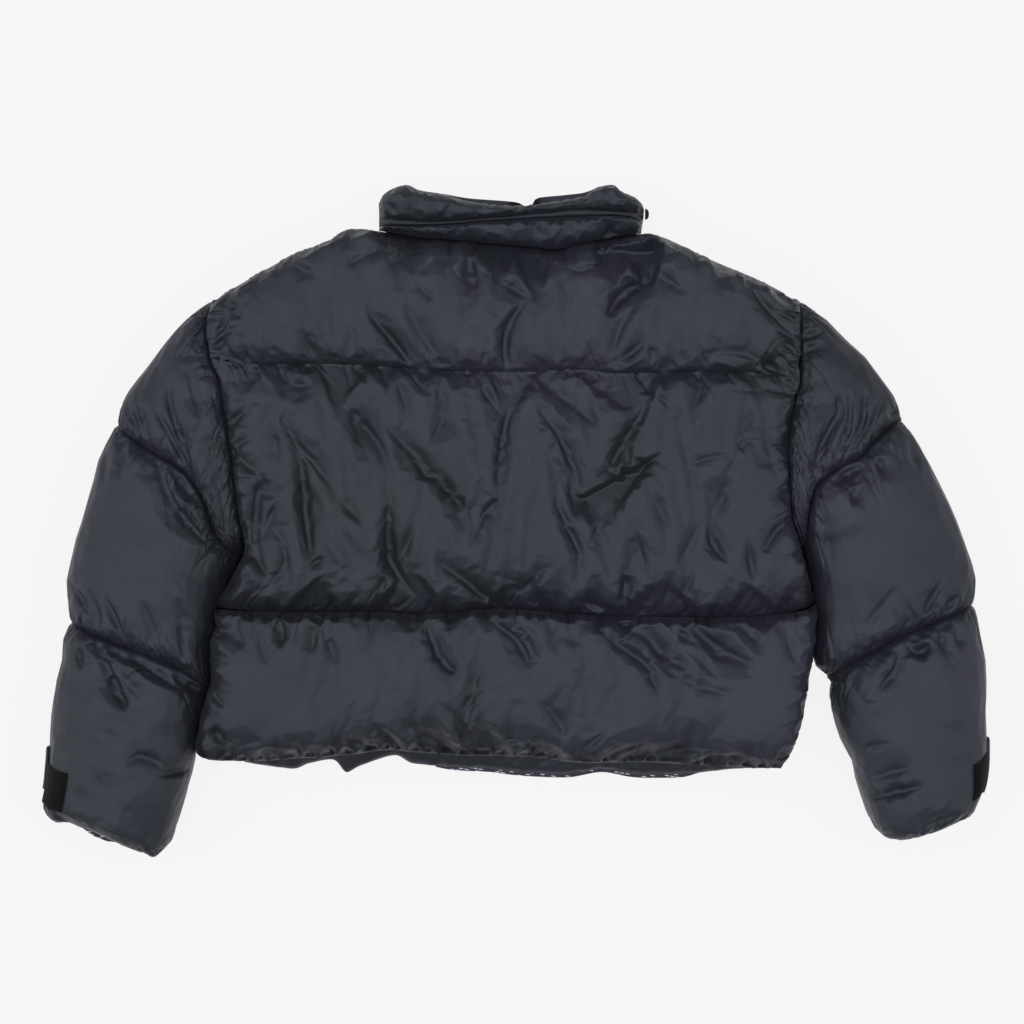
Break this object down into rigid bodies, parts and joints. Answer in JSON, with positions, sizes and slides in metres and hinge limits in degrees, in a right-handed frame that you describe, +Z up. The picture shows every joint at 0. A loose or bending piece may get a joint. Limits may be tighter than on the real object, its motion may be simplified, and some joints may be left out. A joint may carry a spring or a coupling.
{
  "type": "puffer jacket",
  "caption": "Oversized cropped puffer jacket in dark navy nylon, laid flat on its front with the back, stand collar and stowed-hood seam up.",
  "frame": {"origin": "on the surface under the middle of the laid-out jacket's outline", "axes": "+X to the right of the back view, the wearer's right; +Y from hem to collar; +Z up, out of the back"},
  "size_m": [1.0382, 0.736, 0.098],
  "materials": {
    "shell": "fine plain-weave nylon, dark navy, soft semi-gloss",
    "lining": null,
    "hook_and_loop": "matt fuzzy loop tape",
    "zip_tape": "herringbone woven tape, matt",
    "zip_teeth": "moulded teeth, dark, satin",
    "zip_metal": "dark lacquered die-cast metal"
  },
  "bodies": {
    "jacket": {"back_yoke": "shell", "back_middle": "shell", "back_hem": "shell", "front_left_yoke": "shell", "front_right_yoke": "shell", "front_left_middle": "shell", "front_right_middle": "shell", "front_left_hem": "shell", "front_right_hem": "shell", "sleeve_left_upper": "shell", "sleeve_left_middle": "shell", "sleeve_left_cuff": "shell", "cuff_loop_patch_left": "hook_and_loop", "cuff_tab_left": "shell", "sleeve_right_upper": "shell", "sleeve_right_middle": "shell", "sleeve_right_cuff": "shell", "cuff_loop_patch_right": "hook_and_loop", "cuff_tab_right": "shell", "cuff_lining_left": "lining", "collar_back_upper": "shell", "collar_back_lower": "shell", "collar_zip_welt": "shell", "collar_front_left": "shell", "collar_front_right": "shell", "collar_tape_end": "zip_tape", "hem_facing": "shell", "hem_lining": "lining", "zip_tape_left": "zip_tape", "zip_tape_right": "zip_tape", "zip_chain": "zip_teeth", "zip_slider": "zip_metal"},
    "zip_pull_tab": {"zip_pull": "zip_metal"}
  },
  "joints": [
    {"name": "zip_pull_swing", "type": "hinge", "parent": "jacket", "child": "zip_pull_tab", "pos_m": [0.01449, 0.32081, 0.0028], "axis": [1, 0, 0], "range_deg": [0, 170]}
  ]
}
